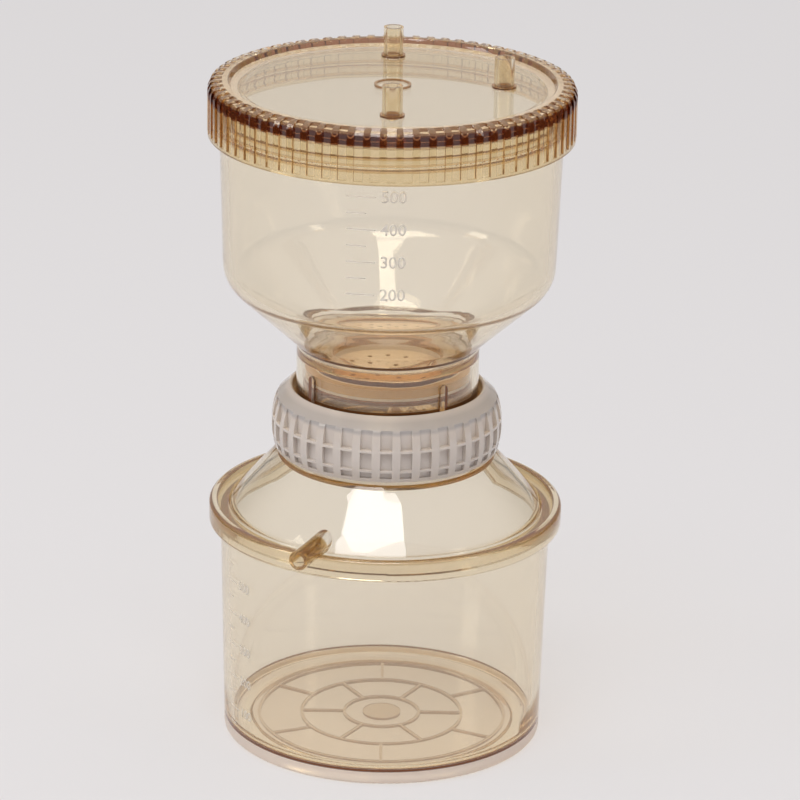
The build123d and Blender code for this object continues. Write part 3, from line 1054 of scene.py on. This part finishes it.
class FILTRATION_OT_chamber(bpy.types.Operator):
    """Add the lid's thread around the chamber's rim"""

    bl_idname = "filtration.chamber"
    bl_label = "Upper chamber"

    def execute(self, context):
        sizes = context.scene.filtration_threads
        top_z = CHAMBER_HIGH.z - RIM_TO_THREAD
        turns = thread(
            "rim_thread",
            root_r=CHAMBER_HIGH.x - 1.0 * MM,
            crest_r=CHAMBER_HIGH.x + 1.0 * MM,
            foot_z=top_z - 2 * sizes.lid_lead - sizes.thread_width,
            lead=sizes.lid_lead,
            width=sizes.thread_width,
        )
        body = skin("upper_chamber")
        lift_face(body, CHAMBER_LOW.z, HAIR)
        weld(body, turns)
        body.name = "chamber_moulding"
        amber = moulded_polysulfone(context.scene.filtration_finish)
        settle(body, "chamber", "polysulfone", amber, "upper_chamber")
        return {"FINISHED"}


class FILTRATION_OT_lid(bpy.types.Operator):
    """Add the thread inside the lid's skirt"""

    bl_idname = "filtration.lid"
    bl_label = "Lid"

    def execute(self, context):
        sizes = context.scene.filtration_threads
        top_z = CHAMBER_HIGH.z - RIM_TO_THREAD
        turns = thread(
            "skirt_thread",
            root_r=LID_BORE_R + 0.5 * MM,
            crest_r=LID_BORE_R - 0.9 * MM,
            foot_z=top_z - 1.5 * sizes.lid_lead - sizes.thread_width,
            lead=sizes.lid_lead,
            width=sizes.thread_width,
            turns=1,
        )
        body = skin("lid")
        weld(body, turns)
        body.name = "lid_moulding"
        amber = lid_polysulfone(context.scene.filtration_finish)
        settle(body, "screw_lid", "polysulfone", amber, "lid")
        return {"FINISHED"}


class FILTRATION_OT_collar(bpy.types.Operator):
    """Add the thread inside the locking collar"""

    bl_idname = "filtration.collar"
    bl_label = "Collar thread"

    def execute(self, context):
        sizes = context.scene.filtration_threads
        turns = thread(
            "collar_thread",
            root_r=COLLAR_BORE_R + 0.5 * MM,
            crest_r=COLLAR_BORE_R - 1.1 * MM,
            foot_z=COLLAR_LOW.z + 1.0 * MM + sizes.collar_lead / 2,
            lead=sizes.collar_lead,
            width=sizes.thread_width,
        )
        pick(turns)
        bpy.ops.object.shade_smooth_by_angle(angle=SMOOTH_ANGLE)
        white = moulded_polypropylene(context.scene.filtration_finish)
        settle(turns, "locking_collar", "polypropylene", white)
        return {"FINISHED"}


def turn_all(value, axis):
    """Turns what is selected in edit mode about an axis through the origin."""
    bpy.ops.transform.rotate(
        value=value, orient_axis=axis, orient_type="GLOBAL", center_override=(0, 0, 0)
    )


def tick(name, across, z, length, height):
    """One flat mark in front of the wall, in columns so that it can follow the curve."""
    bpy.ops.object.select_all(action="DESELECT")
    bpy.ops.mesh.primitive_grid_add(
        x_subdivisions=MARK_COLUMNS, y_subdivisions=1, size=1.0, rotation=(math.pi / 2, 0, 0)
    )
    piece = bpy.context.object
    piece.name = name
    bpy.ops.object.transform_apply(location=True, rotation=True, scale=True)
    edit_all(piece)
    bpy.ops.transform.resize(value=(length, 1, height))
    bpy.ops.transform.translate(value=(across + length / 2, MARKS_Y, z))
    leave_edit()
    return piece


def number(name, words, across, z, height):
    """A plain number in front of the wall."""
    bpy.ops.object.select_all(action="DESELECT")
    bpy.ops.object.text_add()
    piece = bpy.context.object
    piece.name = name
    piece.data.body = words
    piece.data.size = height / DIGIT_SHARE
    piece.data.resolution_u = 3
    piece.data.offset = DIGIT_WEIGHT
    piece.data.align_y = "CENTER"
    bpy.ops.object.convert(target="MESH")
    piece = bpy.context.object
    edit_all(piece)
    bpy.ops.mesh.remove_doubles(threshold=MERGE_GAP)
    turn_all(-math.pi / 2, "X")
    bpy.ops.transform.translate(value=(across, MARKS_Y, z))
    leave_edit()
    return piece


def graduations(
    name, halves, *, lowest, lowest_z, step, mark_x, long, short, line, number_x, digit
):
    """Flat marks 50 mL apart, with a long one and a number at every 100 mL.

    lowest is a volume in mL that the halves count from, and lowest_z its height.
    """
    marks = []
    for half in halves:
        volume = lowest + 50 * half
        z = lowest_z + half * step / 2
        full = volume % 100 == 0
        marks.append(tick(f"{name}_mark_{half}", mark_x, z, long if full else short, line))
        if full:
            marks.append(number(f"{name}_number_{half}", str(volume), number_x, z, digit))
    return marks


def wrap(pieces, wall, proud, name):
    """Joins flat marks, lays them on the front of a wall and gives them their thickness."""
    pick(*pieces)
    bpy.ops.object.join()
    piece = bpy.context.object
    piece.name = name
    lay = piece.modifiers.new("lay", "SHRINKWRAP")
    lay.target = wall
    lay.wrap_method = "PROJECT"
    lay.use_project_x = False
    lay.use_project_y = True
    lay.use_project_z = False
    lay.use_positive_direction = True
    lay.use_negative_direction = False
    lay.wrap_mode = "OUTSIDE_SURFACE"
    lay.offset = proud
    thick = piece.modifiers.new("thick", "SOLIDIFY")
    thick.thickness = proud * MARK_BODY
    thick.offset = -1.0
    apply_all(piece)
    return piece


class FILTRATION_OT_scale(bpy.types.Operator):
    """Raise the graduations on the chamber and on the receiver"""

    bl_idname = "filtration.scale"
    bl_label = "Graduations"

    def execute(self, context):
        cfg = context.scene.filtration_scale
        frost = frosted_polysulfone(context.scene.filtration_finish)
        marks = graduations(
            "chamber",
            range(7),
            lowest=200,
            lowest_z=CHAMBER_HIGH.z - 49.4 * MM,
            step=cfg.chamber_step,
            mark_x=-14.2 * MM,
            long=9.6 * MM,
            short=6.6 * MM,
            line=0.45 * MM,
            number_x=-3.2 * MM,
            digit=cfg.digit_height,
        )
        front = wrap(marks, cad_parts["upper_chamber"], cfg.proud, "chamber_scale")
        settle(front, "chamber", "polysulfone", frost)
        marks = graduations(
            "cup",
            range(1, 12),
            lowest=0,
            lowest_z=1.8 * MM,
            step=cfg.cup_step,
            mark_x=-4.0 * MM,
            long=7.5 * MM,
            short=4.5 * MM,
            line=0.4 * MM,
            number_x=4.8 * MM,
            digit=0.8 * cfg.digit_height,
        )
        side = wrap(marks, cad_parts["receiver_cup"], cfg.proud, "receiver_scale")
        edit_all(side)
        turn_all(CUP_SCALE_TURN, "Z")
        leave_edit()
        settle(side, "receiver", "polysulfone", frost)
        return {"FINISHED"}


class FILTRATION_OT_seals(bpy.types.Operator):
    """Set the gaskets a hair off the clear faces that they seal"""

    bl_idname = "filtration.seals"
    bl_label = "Gaskets"

    def execute(self, context):
        soft = moulded_silicone(context.scene.filtration_finish)
        for name, body in (
            ("lid_gasket", "lid_seal"),
            ("membrane_gasket", "receiver"),
            ("lower_gasket", "receiver"),
        ):
            low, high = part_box(name)
            ring = skin(name)
            lift_face(ring, low.z, HAIR)
            lift_face(ring, high.z, -HAIR)
            bpy.ops.object.shade_smooth_by_angle(angle=SMOOTH_ANGLE)
            ring.name = name + "_ring"
            settle(ring, body, "silicone", soft, name)
        return {"FINISHED"}


class FILTRATION_OT_finish(bpy.types.Operator):
    """Give every CAD node its material"""

    bl_idname = "filtration.finish"
    bl_label = "Finish the mouldings"

    def execute(self, context):
        cfg = context.scene.filtration_finish
        for material, names in (
            (moulded_polysulfone, ("receiver_cup", "receiver_dome", "upper_chamber", "lid")),
            (moulded_plate, ("support_plate",)),
            (moulded_polypropylene, ("collar",)),
            (moulded_silicone, ("lower_gasket", "membrane_gasket", "lid_gasket")),
        ):
            for name in names:
                finish_node(name, material(cfg))
        return {"FINISHED"}


def lay_floor(cfg):
    """Lays a wide sheet of pale paper just under the unit's foot."""
    bpy.ops.object.select_all(action="DESELECT")
    bpy.ops.mesh.primitive_plane_add(size=PAPER_SIZE, location=(0, 0, PAPER_Z))
    floor = bpy.context.object
    floor.name = "floor"
    floor.data.materials.append(pale_paper(cfg))


def fill_room(scene, cfg):
    """Makes the world a room that is dim at eye level, and pale overhead and at the back."""
    world = bpy.data.worlds.new("pale room")
    scene.world = world
    world.use_nodes = True
    world.node_tree.nodes.clear()
    out = node(world, "ShaderNodeOutputWorld")
    way = node(world, "ShaderNodeTexCoord").outputs["Generated"]
    way = node(world, "ShaderNodeSeparateXYZ", None, {0: way}).outputs
    pale = either(world, ramp(world, way["Z"], *ROOM_RISE), ramp(world, way["Y"], *ROOM_BACK))
    shade = tinted(world, pale, linear(cfg.room_low), linear(cfg.room_high))
    inputs = {"Color": shade, "Strength": ROOM_STRENGTH}
    room = node(world, "ShaderNodeBackground", None, inputs)
    link(world, room.outputs[0], out.inputs["Surface"])


def hang_lamps(scene):
    """Hangs the softboxes: a wide one overhead and one at each side."""
    for name, place, size, power, level_turn in LAMPS:
        lamp = bpy.data.lights.new(name, "AREA")
        lamp.shape = "RECTANGLE"
        lamp.size, lamp.size_y = size
        lamp.energy = power
        obj = bpy.data.objects.new(name, lamp)
        scene.collection.objects.link(obj)
        obj.location = place
        if level_turn is None:
            aim = LAMPS_AIM - Vector(place)
            obj.rotation_euler = aim.to_track_quat("-Z", "Y").to_euler()
        else:
            obj.rotation_euler = (0, 0, math.radians(level_turn))


def place_camera(scene, cfg):
    """Stands the camera in front of the unit, looking down at it with a slight lean."""
    lens = bpy.data.cameras.new("camera")
    lens.lens = cfg.camera_lens
    lens.sensor_width = SENSOR_WIDTH
    lens.clip_end = CLIP_END
    eye = bpy.data.objects.new("camera", lens)
    scene.collection.objects.link(eye)
    pitch, pan, roll = cfg.camera_pitch, cfg.camera_pan, cfg.camera_roll
    level = Vector((math.sin(pan), math.cos(pan), 0))
    ahead = math.cos(pitch) * level - math.sin(pitch) * Vector((0, 0, 1))
    right = Vector((math.cos(pan), -math.sin(pan), 0))
    up = right.cross(ahead)
    lean_right = math.cos(roll) * right + math.sin(roll) * up
    lean_up = math.cos(roll) * up - math.sin(roll) * right
    place = Matrix((lean_right, lean_up, -ahead)).transposed().to_4x4()
    place.translation = (0, -cfg.camera_away, cfg.camera_height)
    eye.matrix_world = place
    scene.camera = eye


class FILTRATION_OT_stage(bpy.types.Operator):
    """Set the floor, the room, the lamps and the camera"""

    bl_idname = "filtration.stage"
    bl_label = "Set the stage"

    def execute(self, context):
        scene = context.scene
        cfg = scene.filtration_stage
        scene.view_settings.view_transform = "Standard"
        lay_floor(cfg)
        fill_room(scene, cfg)
        hang_lamps(scene)
        place_camera(scene, cfg)
        return {"FINISHED"}


# --------------------------------------------------------------- panel and run


class FILTRATION_PT_panel(bpy.types.Panel):
    """The steps that make the unit, in the 3D view's sidebar"""

    bl_idname = "FILTRATION_PT_panel"
    bl_label = "Filtration unit"
    bl_space_type = "VIEW_3D"
    bl_region_type = "UI"
    bl_category = "Filtration"

    def draw(self, context):
        for step in STEPS:
            self.layout.operator(step.bl_idname)


STEPS = (
    FILTRATION_OT_stage,
    FILTRATION_OT_receiver,
    FILTRATION_OT_chamber,
    FILTRATION_OT_lid,
    FILTRATION_OT_collar,
    FILTRATION_OT_scale,
    FILTRATION_OT_seals,
    FILTRATION_OT_finish,
)
GROUPS = {
    "filtration_threads": FiltrationThreads,
    "filtration_scale": FiltrationScale,
    "filtration_finish": FiltrationFinish,
    "filtration_stage": FiltrationStage,
}


def register():
    """Registers the settings, the steps and the panel."""
    for cls in (*GROUPS.values(), *STEPS, FILTRATION_PT_panel):
        bpy.utils.register_class(cls)
    for name, group in GROUPS.items():
        setattr(bpy.types.Scene, name, bpy.props.PointerProperty(type=group))


def unregister():
    """Takes them away again."""
    for name in GROUPS:
        delattr(bpy.types.Scene, name)
    for cls in reversed((*GROUPS.values(), *STEPS, FILTRATION_PT_panel)):
        bpy.utils.unregister_class(cls)


def main():
    """Makes the unit and its stage."""
    register()
    bpy.ops.filtration.stage()
    bpy.ops.filtration.receiver()
    bpy.ops.filtration.chamber()
    bpy.ops.filtration.lid()
    bpy.ops.filtration.collar()
    bpy.ops.filtration.scale()
    bpy.ops.filtration.seals()
    bpy.ops.filtration.finish()


if __name__ == "__main__":
    main()
